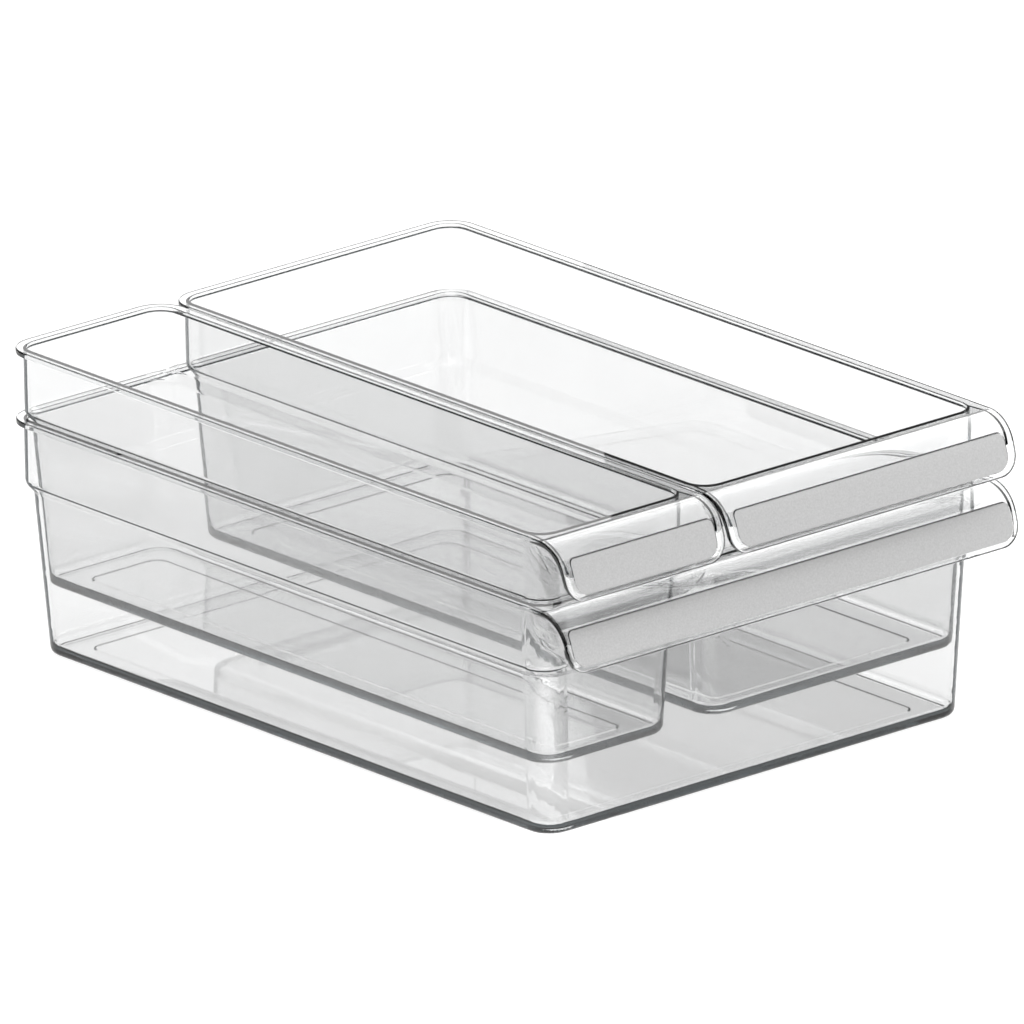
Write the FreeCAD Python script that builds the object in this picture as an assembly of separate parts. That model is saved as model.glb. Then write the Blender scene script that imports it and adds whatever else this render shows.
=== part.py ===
import FreeCAD, Part
import math
import os

# A fridge bin: one large clear bin with a narrow and a wide insert bin hanging in its rim.
# Millimetres. X is the width, Y runs from the front handle to the back, Z is up.
# The origin is on the floor, under the middle of the whole set.

V = FreeCAD.Vector

# Driving dimensions
rim_width = 215.0        # large bin over its side rims
rim_depth = 301.0        # back rim to the front wall, without the handle
narrow_width = 76.4      # narrow insert over its side rims
insert_gap = 0.6         # between the two inserts, side by side
insert_play = 0.3        # between the inserts' rims and the large bin's rim outline, all round
bin_height = 90.2        # every bin of the set
nest_rise = 26.7         # how far the inserts stand above the large bin
rest_gap = 0.1           # under the ledge of an insert, over the edge of the large bin's mouth
wall = 1.3               # side walls
floor = 1.9              # bottom

# Side profile: how far each level lies inside the rim's outer edge
flange_reach = 2.8
flange_height = 2.2
ledge_inset = 4.6
ledge_slope = 3.2        # height of the sloping ledge
base_inset = 8.0

# Corner radii, seen from above
rim_radius = 12.0
lower_radius = 10.5
base_radius = 10.5

# Edges
base_edge_radius = 2.6
floor_fillet = 3.6
ledge_bend = 1.7         # inside of the two bends of the ledge
rim_edge_radius = 0.6    # outer edges of the rim and of the lip
mouth_edge_radius = 0.4  # inner edge of the rim

# Foot: the middle of the floor is raised off the surface
foot_width = 13.0
foot_height = 0.9
foot_slope = 1.0

# Front handle: a lip that curves forward and down from the rim
lip_flat = 4.0           # level part in front of the wall's inner face
lip_radius = 14.0        # upper bend
lip_turn = 70.0          # degrees, where the upper bend ends
lip_face_radius = 60.0   # long gentle curve of the front face
lip_end_turn = 84.0      # degrees, past the lip's lower edge
lip_drop = 21.2
lip_taper = 1.2          # how far each end leans in towards the lower edge
lip_thickness = 2.2
lip_corner = 8.5
web_thickness = 1.1      # end webs, from the lip's ends back to the round corners
web_root = 0.7           # how deep the web runs into the corner's wall
# Each row of a web: drop and inset at the lip, drop and inset at the corner, from the rim
insert_web = ((0.8, 0.3, 1.2, 3.1), (5.0, 0.6, 7.5, 4.8), (9.5, 1.2, 15.3, 8.0))
large_web = ((0.8, 0.3, 0.8, 2.9), (7.0, 0.8, 7.7, 3.3), (12.0, 1.2, 12.0, 4.3),
             (16.0, 1.8, 15.5, 5.6), (18.5, 2.3, 18.6, 7.6))

# Label panel, set in a recess of the lip's face
label_border = 4.8
large_label_border = 3.4
label_top = 5.6
label_bottom = 18.8
label_top_corner = 2.2
label_bottom_corner = 5.6
recess_depth = 0.8
panel_gap = 0.12         # round the panel's edge
panel_sink = 0.1         # the panel lies just under the lip's face
glue_line = 0.06

OVERSIZE = 1.0           # cutting tools run this far past the surface they cut

wall_inner = flange_reach + wall
upper_radius = rim_radius - flange_reach

# The ledge slopes from the upper wall to the lower wall. An insert rests where the slope is as
# far inside its rim as the large bin's mouth is.
slope_run = ledge_inset - flange_reach
rest_inset = wall_inner - insert_play
ledge_bottom = bin_height - nest_rise - ledge_slope * (ledge_inset - rest_inset) / slope_run
ledge_top = ledge_bottom + ledge_slope
ledge_lift = wall * math.tan(math.atan2(slope_run, ledge_slope) / 2)  # inner bends over outer ones
draft = (base_inset - ledge_inset) / ledge_bottom


def lip_reach():
    """How far the lip's lower edge lies in front of the wall's inner face."""
    bend = math.radians(lip_turn)
    down_upper = lip_radius * (1 - math.cos(bend))
    down_face = lip_drop - down_upper
    end = math.acos(math.cos(bend) - down_face / lip_face_radius)
    forward_face = lip_face_radius * (math.sin(end) - math.sin(bend))
    return lip_flat + lip_radius * math.sin(bend) + forward_face


overall_depth = rim_depth - wall_inner + lip_reach()
front = overall_depth / 2 - rim_depth
front_inner = front + wall_inner


def rounded_rectangle(x0, x1, y0, y1, radius, z):
    """A closed outline with four round corners, at height z."""
    corners = [(x1 - radius, y1 - radius, 0), (x0 + radius, y1 - radius, 90),
               (x0 + radius, y0 + radius, 180), (x1 - radius, y0 + radius, 270)]
    arcs = [Part.makeCircle(radius, V(x, y, z), V(0, 0, 1), start, start + 90)
            for x, y, start in corners]
    edges = []
    for arc, following in zip(arcs, arcs[1:] + arcs[:1]):
        edges += [arc, Part.makeLine(arc.lastVertex().Point, following.firstVertex().Point)]
    return Part.Wire(edges)


class Footprint:
    """The rim's outer edge of one bin, from which every level is inset."""

    def __init__(self, x0, x1, depth):
        self.x0, self.x1, self.back = x0, x1, front + depth

    def level(self, inset, radius, z):
        return rounded_rectangle(self.x0 + inset, self.x1 - inset,
                                 front + inset, self.back - inset, radius, z)

    def block(self, bottom, top):
        """A solid between two levels, each given as (inset, radius, z)."""
        return Part.makeLoft([self.level(*bottom), self.level(*top)], True, True)


def edges_at(shape, z, tolerance=0.01):
    """The edges of a shape that lie wholly at height z."""
    return [e for e in shape.Edges
            if abs(e.BoundBox.ZMin - z) < tolerance and abs(e.BoundBox.ZMax - z) < tolerance]


def stack(place, *levels):
    """Blocks on top of each other, from one level to the next."""
    blocks = [place.block(below, above) for below, above in zip(levels, levels[1:])]
    return blocks[0].fuse(blocks[1:]).removeSplitter()


def outer_form(place):
    """The bin as if it were solid: flange, upper wall, ledge and drafted lower wall."""
    base = (base_inset, base_radius, 0)
    low = (ledge_inset, lower_radius, ledge_bottom)
    high = (flange_reach, upper_radius, ledge_top)
    top = (flange_reach, upper_radius, bin_height)
    body = stack(place, base, low, high, top)
    body = body.makeFillet(base_edge_radius, edges_at(body, 0))
    body = body.makeFillet(ledge_bend, edges_at(body, ledge_bottom))
    body = body.makeFillet(ledge_bend + wall, edges_at(body, ledge_top))
    flange_foot = bin_height - flange_height
    flange = place.block((0, rim_radius, flange_foot), (0, rim_radius, bin_height))
    flange = flange.makeFillet(rim_edge_radius, edges_at(flange, flange_foot)
                               + edges_at(flange, bin_height))
    return body.fuse(flange).removeSplitter()


def inner_form(place):
    """The hollow of the bin, with a round floor fillet and a ledge."""
    bottom = ledge_bottom + ledge_lift
    top = ledge_top + ledge_lift
    hollow = stack(place, (base_inset + wall - floor * draft, base_radius - wall, floor),
                   (ledge_inset + wall, lower_radius - wall, bottom),
                   (wall_inner, upper_radius - wall, top),
                   (wall_inner, upper_radius - wall, bin_height + OVERSIZE))
    hollow = hollow.makeFillet(floor_fillet, edges_at(hollow, floor))
    hollow = hollow.makeFillet(ledge_bend + wall, edges_at(hollow, bottom))
    return hollow.makeFillet(ledge_bend, edges_at(hollow, top))


def foot_recess(place):
    """The shallow recess under the floor that leaves a foot all round."""
    inset = base_inset + foot_width
    radius = base_radius / 2
    return place.block((inset - foot_slope, radius + foot_slope, -foot_slope),
                       (inset + foot_height, radius - foot_height, foot_height))


def lip_region(x0, x1, offset):
    """Everything behind and under the lip's face, with that face moved inwards by offset."""
    top = bin_height - offset
    rear = front_inner + rim_radius
    centre = V(0, front_inner - lip_flat, bin_height - lip_radius)
    bend, end = math.radians(lip_turn), math.radians(lip_end_turn)

    def outward(angle):
        return V(0, -math.sin(angle), math.cos(angle))

    face_centre = centre - outward(bend) * (lip_face_radius - lip_radius)
    upper = lip_radius - offset
    face = lip_face_radius - offset
    start = centre + outward(0) * upper
    middle = centre + outward(bend) * upper
    finish = face_centre + outward(end) * face
    edges = [
        Part.makeLine(V(0, rear, top), start),
        Part.Arc(start, centre + outward(bend / 2) * upper, middle).toShape(),
        Part.Arc(middle, face_centre + outward((bend + end) / 2) * face, finish).toShape(),
        Part.makeLine(finish, V(0, rear, finish.z)),
        Part.makeLine(V(0, rear, finish.z), V(0, rear, top)),
    ]
    region = Part.Face(Part.Wire(edges)).extrude(V(x1 - x0, 0, 0))
    region.translate(V(x0, 0, 0))
    return region


def front_window(x0, x1, z0, z1, top_corner, bottom_corner, taper=0):
    """A block along Y whose outline, seen from the front, has round corners and leaning sides."""
    reach = overall_depth
    rear = front_inner + rim_radius
    outline = [V(x0 + taper, rear, z0), V(x1 - taper, rear, z0), V(x1, rear, z1), V(x0, rear, z1)]
    face = Part.Face(Part.makePolygon(outline + outline[:1]))
    block = face.extrude(V(0, -reach, 0))
    for z, radius in ((z0, bottom_corner), (z1, top_corner)):
        if radius:
            upright = [e for e in edges_at(block, z) if e.BoundBox.YLength > reach / 2]
            block = block.makeFillet(radius, upright)
    return block


def end_web(edge, side, rows):
    """The plate that closes one end of the lip; side is 1 at the left end and -1 at the right."""
    corner = rim_radius - flange_reach
    sections = []
    for lip_down, lip_inset, root_down, root_inset in rows:
        forward = math.sqrt(corner**2 - (rim_radius - root_inset)**2)
        lip_end = V(edge + side * lip_inset, front_inner - lip_reach(), bin_height - lip_down)
        root = V(edge + side * root_inset, front + rim_radius - forward, bin_height - root_down)
        root += (root - lip_end).normalize() * web_root
        inwards = V(side * web_thickness, 0, 0)
        sections.append(Part.makePolygon([lip_end, root, root + inwards, lip_end + inwards, lip_end]))
    return Part.makeLoft(sections, True, True)


def handle(x0, x1, web_rows):
    """The curved lip and the webs at its ends."""
    sheet = lip_region(x0, x1, 0).cut(lip_region(x0 - OVERSIZE, x1 + OVERSIZE, lip_thickness))
    sheet = sheet.common(front_window(x0, x1, bin_height - lip_drop, bin_height + OVERSIZE,
                                      0, lip_corner, lip_taper))
    lower_end = [e for e in edges_at(sheet, bin_height - lip_drop) if e.Length > lip_corner]
    sides = [e for e in sheet.Edges if e.Length > lip_thickness + rim_edge_radius
             and e.BoundBox.XLength < lip_corner + lip_taper]
    sheet = sheet.makeFillet(rim_edge_radius, lower_end + sides)
    behind_face = lip_region(x0, x1, lip_thickness / 2)
    webs = [end_web(edge, side, web_rows).common(behind_face) for edge, side in ((x0, 1), (x1, -1))]
    return sheet.fuse(webs)


def label_zone(x0, x1, border, near, far, gap=0):
    """The part of the lip between two depths under its face, inside the label's outline."""
    wide_x0, wide_x1 = x0 - OVERSIZE, x1 + OVERSIZE
    layer = lip_region(x0, x1, near).cut(lip_region(wide_x0, wide_x1, far))
    window = front_window(x0 + border + gap, x1 - border - gap,
                          bin_height - label_bottom + gap, bin_height - label_top - gap,
                          label_top_corner - gap, label_bottom_corner - gap)
    return layer.common(window)


def soften_mouth(shell, place):
    """Rounds the inner edge of the rim."""
    slack = 0.01
    mouth = [e for e in edges_at(shell, bin_height)
             if e.BoundBox.XMin > place.x0 + wall_inner - slack
             and e.BoundBox.XMax < place.x1 - wall_inner + slack
             and e.BoundBox.YMin > front_inner - slack]
    return shell.makeFillet(mouth_edge_radius, mouth)


def make_bin(x0, x1, depth, border, web_rows, shift=V()):
    """One clear bin and the label panel in its handle, moved by shift from the floor."""
    place = Footprint(x0, x1, depth)
    hollow = inner_form(place)
    shell = outer_form(place).fuse(handle(x0, x1, web_rows))
    shell = shell.cut([hollow, foot_recess(place),
                       label_zone(x0, x1, border, -OVERSIZE, recess_depth)])
    shell = soften_mouth(shell.removeSplitter(), place)
    panel = label_zone(x0, x1, border, panel_sink, recess_depth - glue_line, panel_gap)
    pieces = [max(piece.Solids, key=lambda solid: solid.Volume) for piece in (shell, panel)]
    for piece in pieces:
        piece.translate(shift)
    return pieces


def main():
    left, right = -rim_width / 2, rim_width / 2
    insert_left, insert_right = left + insert_play, right - insert_play
    split = insert_left + narrow_width
    insert_depth = rim_depth - 2 * insert_play
    insert_shift = V(0, insert_play, nest_rise + rest_gap)
    bins = {
        "large": make_bin(left, right, rim_depth, large_label_border, large_web),
        "narrow": make_bin(insert_left, split, insert_depth, label_border, insert_web, insert_shift),
        "wide": make_bin(split + insert_gap, insert_right, insert_depth, label_border, insert_web,
                         insert_shift),
    }
    os.makedirs("parts", exist_ok=True)
    for size, (shell, panel) in bins.items():
        for name, piece in ((f"{size}_bin", shell), (f"{size}_label_panel", panel)):
            print(name, "valid", piece.isValid(), "volume", round(piece.Volume),
                  "faces", len(piece.Faces), piece.BoundBox)
            piece.exportStep(f"parts/{name}.step")


main()
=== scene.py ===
import math

import bpy
from mathutils import Matrix, Vector


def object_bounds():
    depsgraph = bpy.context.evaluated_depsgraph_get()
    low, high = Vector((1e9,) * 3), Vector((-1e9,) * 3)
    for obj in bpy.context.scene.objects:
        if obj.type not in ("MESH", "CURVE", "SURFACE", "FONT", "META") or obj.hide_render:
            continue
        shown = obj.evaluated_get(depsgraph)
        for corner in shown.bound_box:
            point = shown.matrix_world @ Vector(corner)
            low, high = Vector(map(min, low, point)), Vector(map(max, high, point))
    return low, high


# A clear fridge bin with two insert bins, on a pale floor under soft studio light.
# Everything is in metres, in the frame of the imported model: +X right, +Y back, +Z up.

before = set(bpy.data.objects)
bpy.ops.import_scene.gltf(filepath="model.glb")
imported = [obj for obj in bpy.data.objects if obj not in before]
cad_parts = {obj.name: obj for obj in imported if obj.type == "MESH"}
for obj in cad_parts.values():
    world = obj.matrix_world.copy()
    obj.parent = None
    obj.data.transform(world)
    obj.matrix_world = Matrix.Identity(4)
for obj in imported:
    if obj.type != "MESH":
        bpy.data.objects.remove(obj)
cad_low, cad_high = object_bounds()

# Camera
VIEW_AZIMUTH = math.radians(-39.94)
VIEW_ELEVATION = math.radians(18.94)
VIEW_ROLL = math.radians(-1.20)
VIEW_DISTANCE = 15.0
VIEW_WIDTH = 0.3705          # how much of the scene the picture spans at the object
SENSOR_WIDTH = 36.0          # mm
AIM_UP = 0.0081              # the picture's centre above the middle of the object

# Noise textures: scale, detail, and stretch along the axes
CLOUDS = (25.0, 3.0)
MARKS = (900.0, 4.0, (1.0, 0.15, 1.0))
WAVES = (30.0, 1.0, (1.0, 0.4, 1.0))
GRAIN = (1600.0, 3.0)
MOTTLE = (4.0,)
NOISE_RANGE = (0.3, 0.7)     # where most of a noise texture lies

# Clear plastic
CLEAR_IOR = 1.53
CLEAR_GREYS = (0.893, 0.905)
CLEAR_ROUGHNESS = (0.0, 0.02)
WAVES_BUMP = {"Strength": 0.05, "Distance": 0.0004}
# Painted shade: a dark mirror tint that darkens the plastic's edges where it reflects strongly
PAINTED_EDGE_SHADE = (0.050, 0.062, 0.068)
PAINTED_EDGE_SHADE_RANGE = (0.70, 0.98)  # reflectance over which the painted edge shade fades in
BODY = {"Color": (0.58, 0.605, 0.615, 1), "Density": 46.0}

# Frosted label panels
PANEL_GREYS = (0.435, 0.515)
PANEL_ROUGHNESS = (0.55, 0.75)
PANEL_SPECULAR = 0.3
GRAIN_BUMP = {"Strength": 0.3, "Distance": 0.00006}

# Floor, which glows like a light table
FLOOR_SIZE = 2.4
FLOOR_DROP = 0.0002          # under the object's foot
FLOOR_GREYS = (0.24, 0.26)
FLOOR_ROUGHNESS = 0.9
FLOOR_GLOW = 0.92
PAINTED_POOL_GLOW = 2.6              # painted light: a brighter pool glowing in the floor in front of the near corner
PAINTED_POOL_REACH = (0.02, 0.14)    # how far from its middle it starts to fade, and where it ends
PAINTED_POOL_OUT = 0.08              # from the near corner to its middle

# Room: its glow by the height of a direction, which is 0 at the horizon and 1 straight up
WALL_GLOW = 0.02
CEILING_GLOW = 0.9
CEILING_HEIGHTS = (0.20, 0.65)
HORIZON_GLOW = 1.16          # the pale floor goes on to the horizon
HORIZON_HEIGHTS = (0.02, 0.04)

# Lights
SUN_ENERGY = 0.6
SUN_ANGLE = math.radians(50)
# Softboxes: azimuth and elevation in degrees, distance, width and height, radiance
SOFTBOXES = {
    "right": (92, 45, 1.2, (1.7, 0.9), 2.2),
    "back": (180, 42, 1.2, (0.8, 0.25), 3.0),
    "board": (157, 18, 0.77, (0.5, 0.36), 1.3),
    "front": (37, 5, 1.2, (0.7, 0.25), 6.0),
}

# Rendering
GLASS_BOUNCES = 40           # light crosses many thin walls
CLEAR_BOUNCES = 16


def material(name):
    """A new node material, with its tree and its Principled shader."""
    made = bpy.data.materials.new(name)
    made.use_nodes = True
    tree = made.node_tree
    return made, tree, tree.nodes["Principled BSDF"]


def node(tree, kind, inputs=None, **settings):
    """Adds a node; settings are its own properties and inputs are its sockets' values."""
    added = tree.nodes.new(kind)
    for key, value in settings.items():
        setattr(added, key, value)
    for key, value in (inputs or {}).items():
        added.inputs[key].default_value = value
    return added


def noise(tree, scale, detail=2.0, stretch=(1, 1, 1)):
    """A noise texture in metres of the object, stretched along the axes."""
    place = node(tree, "ShaderNodeTexCoord")
    mapping = node(tree, "ShaderNodeMapping", {"Scale": stretch})
    texture = node(tree, "ShaderNodeTexNoise", {"Scale": scale, "Detail": detail})
    tree.links.new(place.outputs["Object"], mapping.inputs["Vector"])
    tree.links.new(mapping.outputs["Vector"], texture.inputs["Vector"])
    return texture.outputs["Fac"]


def remap(tree, value, source, target, interpolation="LINEAR"):
    """Maps a value from the source range to the target range, and no further."""
    ramp = node(tree, "ShaderNodeMapRange", {"From Min": source[0], "From Max": source[1],
                                             "To Min": target[0], "To Max": target[1]},
                interpolation_type=interpolation)
    tree.links.new(value, ramp.inputs["Value"])
    return ramp.outputs["Result"]


def tint(tree, factor, first, second):
    """Mixes two colours, each a grey, a colour or a socket, by the factor."""
    mix = node(tree, "ShaderNodeMix", data_type="RGBA")
    sockets = [s for s in mix.inputs if s.type == "RGBA"]
    for socket, colour in zip(sockets, (first, second)):
        if isinstance(colour, float):
            socket.default_value = (colour, colour, colour, 1)
        elif isinstance(colour, tuple):
            socket.default_value = (*colour, 1)
        else:
            tree.links.new(colour, socket)
    tree.links.new(factor, mix.inputs["Factor"])
    return [s for s in mix.outputs if s.type == "RGBA"][0]


def emboss(tree, shader, texture, inputs):
    """Bumps the surface by a texture."""
    bump = node(tree, "ShaderNodeBump", inputs)
    tree.links.new(texture, bump.inputs["Height"])
    tree.links.new(bump.outputs["Normal"], shader.inputs["Normal"])


def clear_plastic():
    """Clear moulded plastic: slight flow waves, fine handling marks, and painted shade: a dark
    mirror tint that darkens the edges where the wall reflects strongly."""
    made, tree, shader = material("clear_plastic")
    shader.inputs["Transmission Weight"].default_value = 1.0
    shader.inputs["IOR"].default_value = CLEAR_IOR
    # Painted shade: the dark mirror tint grows with the wall's reflectance, darkening its edges
    fresnel = node(tree, "ShaderNodeFresnel", {"IOR": CLEAR_IOR})
    painted_edge_shade = remap(tree, fresnel.outputs["Fac"], PAINTED_EDGE_SHADE_RANGE, (0.0, 1.0))
    tree.links.new(painted_edge_shade, shader.inputs["Metallic"])
    cloud = remap(tree, noise(tree, *CLOUDS), NOISE_RANGE, (0.0, 1.0))
    clear = tint(tree, cloud, *CLEAR_GREYS)
    tree.links.new(tint(tree, painted_edge_shade, clear, PAINTED_EDGE_SHADE), shader.inputs["Base Color"])
    gloss = remap(tree, noise(tree, *MARKS), NOISE_RANGE, CLEAR_ROUGHNESS)
    tree.links.new(gloss, shader.inputs["Roughness"])
    emboss(tree, shader, noise(tree, *WAVES), WAVES_BUMP)
    body = node(tree, "ShaderNodeVolumeAbsorption", BODY)
    tree.links.new(body.outputs["Volume"], tree.nodes["Material Output"].inputs["Volume"])
    return made


def frosted_plastic():
    """Matt grey label panel with a fine moulded grain."""
    made, tree, shader = material("frosted_plastic")
    grain = noise(tree, *GRAIN)
    colour = tint(tree, remap(tree, grain, NOISE_RANGE, (0.0, 1.0)), *PANEL_GREYS)
    tree.links.new(colour, shader.inputs["Base Color"])
    gloss = remap(tree, grain, NOISE_RANGE, PANEL_ROUGHNESS)
    tree.links.new(gloss, shader.inputs["Roughness"])
    emboss(tree, shader, grain, GRAIN_BUMP)
    shader.inputs["Specular IOR Level"].default_value = PANEL_SPECULAR
    return made


def dress():
    """Gives every node of the frame its finish."""
    finishes = {"bin": clear_plastic(), "panel": frosted_plastic()}
    for name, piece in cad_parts.items():
        finish = finishes[name.rsplit("_", 1)[1]]
        for slot in piece.material_slots:
            slot.material = finish


def direction(azimuth, elevation):
    """A unit vector; azimuth 0 is the front, turning to the right."""
    return Vector((math.sin(azimuth) * math.cos(elevation),
                   -math.cos(azimuth) * math.cos(elevation), math.sin(elevation)))


def floor():
    """A wide pale floor, lit through like a light table, with a painted pool of light before
    the near corner.
    """
    bpy.ops.mesh.primitive_plane_add(size=FLOOR_SIZE, location=(0, 0, cad_low.z - FLOOR_DROP))
    ground = bpy.context.object
    ground.name = "floor"
    made, tree, shader = material("floor_paint")
    colour = tint(tree, noise(tree, *MOTTLE), *FLOOR_GREYS)
    tree.links.new(colour, shader.inputs["Base Color"])
    # Painted light: a pool of brighter glow in the floor before the near corner
    painted_pool = Vector((cad_low.x, cad_low.y, 0)) + direction(VIEW_AZIMUTH, 0) * PAINTED_POOL_OUT
    place = node(tree, "ShaderNodeTexCoord")
    away = node(tree, "ShaderNodeVectorMath", operation="DISTANCE")
    away.inputs[1].default_value = painted_pool
    tree.links.new(place.outputs["Object"], away.inputs[0])
    glow_with_painted_pool = remap(tree, away.outputs["Value"], PAINTED_POOL_REACH, (PAINTED_POOL_GLOW, FLOOR_GLOW), "SMOOTHSTEP")
    tree.links.new(glow_with_painted_pool, shader.inputs["Emission Strength"])
    shader.inputs["Emission Color"].default_value = (1, 1, 1, 1)
    shader.inputs["Roughness"].default_value = FLOOR_ROUGHNESS
    shader.inputs["Specular IOR Level"].default_value = 0.0
    ground.data.materials.append(made)


def room():
    """Dark walls under a white ceiling, with the pale floor up to the horizon."""
    world = bpy.data.worlds.new("room")
    bpy.context.scene.world = world
    world.use_nodes = True
    tree = world.node_tree
    place = node(tree, "ShaderNodeTexCoord")
    parts = node(tree, "ShaderNodeSeparateXYZ")
    tree.links.new(place.outputs["Generated"], parts.inputs["Vector"])
    height = parts.outputs["Z"]
    ceiling = remap(tree, height, CEILING_HEIGHTS, (WALL_GLOW, CEILING_GLOW), "SMOOTHSTEP")
    ground = remap(tree, height, HORIZON_HEIGHTS, (HORIZON_GLOW, 0.0))
    total = node(tree, "ShaderNodeMath", operation="ADD")
    tree.links.new(ceiling, total.inputs[0])
    tree.links.new(ground, total.inputs[1])
    background = tree.nodes["Background"]
    tree.links.new(total.outputs["Value"], background.inputs["Strength"])
    background.inputs["Color"].default_value = (1, 1, 1, 1)


def sun():
    """Very soft light from straight above."""
    overhead = bpy.data.lights.new("overhead", "SUN")
    overhead.energy = SUN_ENERGY
    overhead.angle = SUN_ANGLE
    holder = bpy.data.objects.new("overhead", overhead)
    bpy.context.scene.collection.objects.link(holder)


def softbox(name, azimuth, elevation, distance, size, radiance):
    """An area light that faces the middle of the object."""
    lamp = bpy.data.lights.new(name, "AREA")
    lamp.shape = "RECTANGLE"
    lamp.size, lamp.size_y = size
    lamp.energy = radiance * math.pi * lamp.size * lamp.size_y
    away = direction(math.radians(azimuth), math.radians(elevation))
    holder = bpy.data.objects.new(name, lamp)
    holder.location = (cad_low + cad_high) / 2 + away * distance
    holder.rotation_mode = "QUATERNION"
    holder.rotation_quaternion = away.to_track_quat("Z", "Y")
    holder.visible_camera = False
    bpy.context.scene.collection.objects.link(holder)


def camera():
    """A long lens at the viewing angle, turned slightly about its own axis."""
    back = direction(VIEW_AZIMUTH, VIEW_ELEVATION)
    right = Vector((math.cos(VIEW_AZIMUTH), math.sin(VIEW_AZIMUTH), 0))
    up = back.cross(right)
    target = (cad_low + cad_high) / 2 + up * AIM_UP
    lens = bpy.data.cameras.new("camera")
    lens.sensor_width = SENSOR_WIDTH
    lens.lens = SENSOR_WIDTH * VIEW_DISTANCE / VIEW_WIDTH
    lens.clip_end = 4 * VIEW_DISTANCE
    holder = bpy.data.objects.new("camera", lens)
    turn = Matrix.Rotation(VIEW_ROLL, 4, "Z")
    basis = Matrix((right, up, back)).transposed().to_4x4()
    holder.matrix_world = Matrix.Translation(target + back * VIEW_DISTANCE) @ basis @ turn
    bpy.context.scene.collection.objects.link(holder)
    bpy.context.scene.camera = holder


dress()
floor()
room()
sun()
for box_name, facts in SOFTBOXES.items():
    softbox(box_name, *facts)
camera()

scene = bpy.context.scene
scene.view_settings.view_transform = "Standard"
scene.cycles.max_bounces = GLASS_BOUNCES
scene.cycles.transmission_bounces = GLASS_BOUNCES
scene.cycles.transparent_max_bounces = CLEAR_BOUNCES
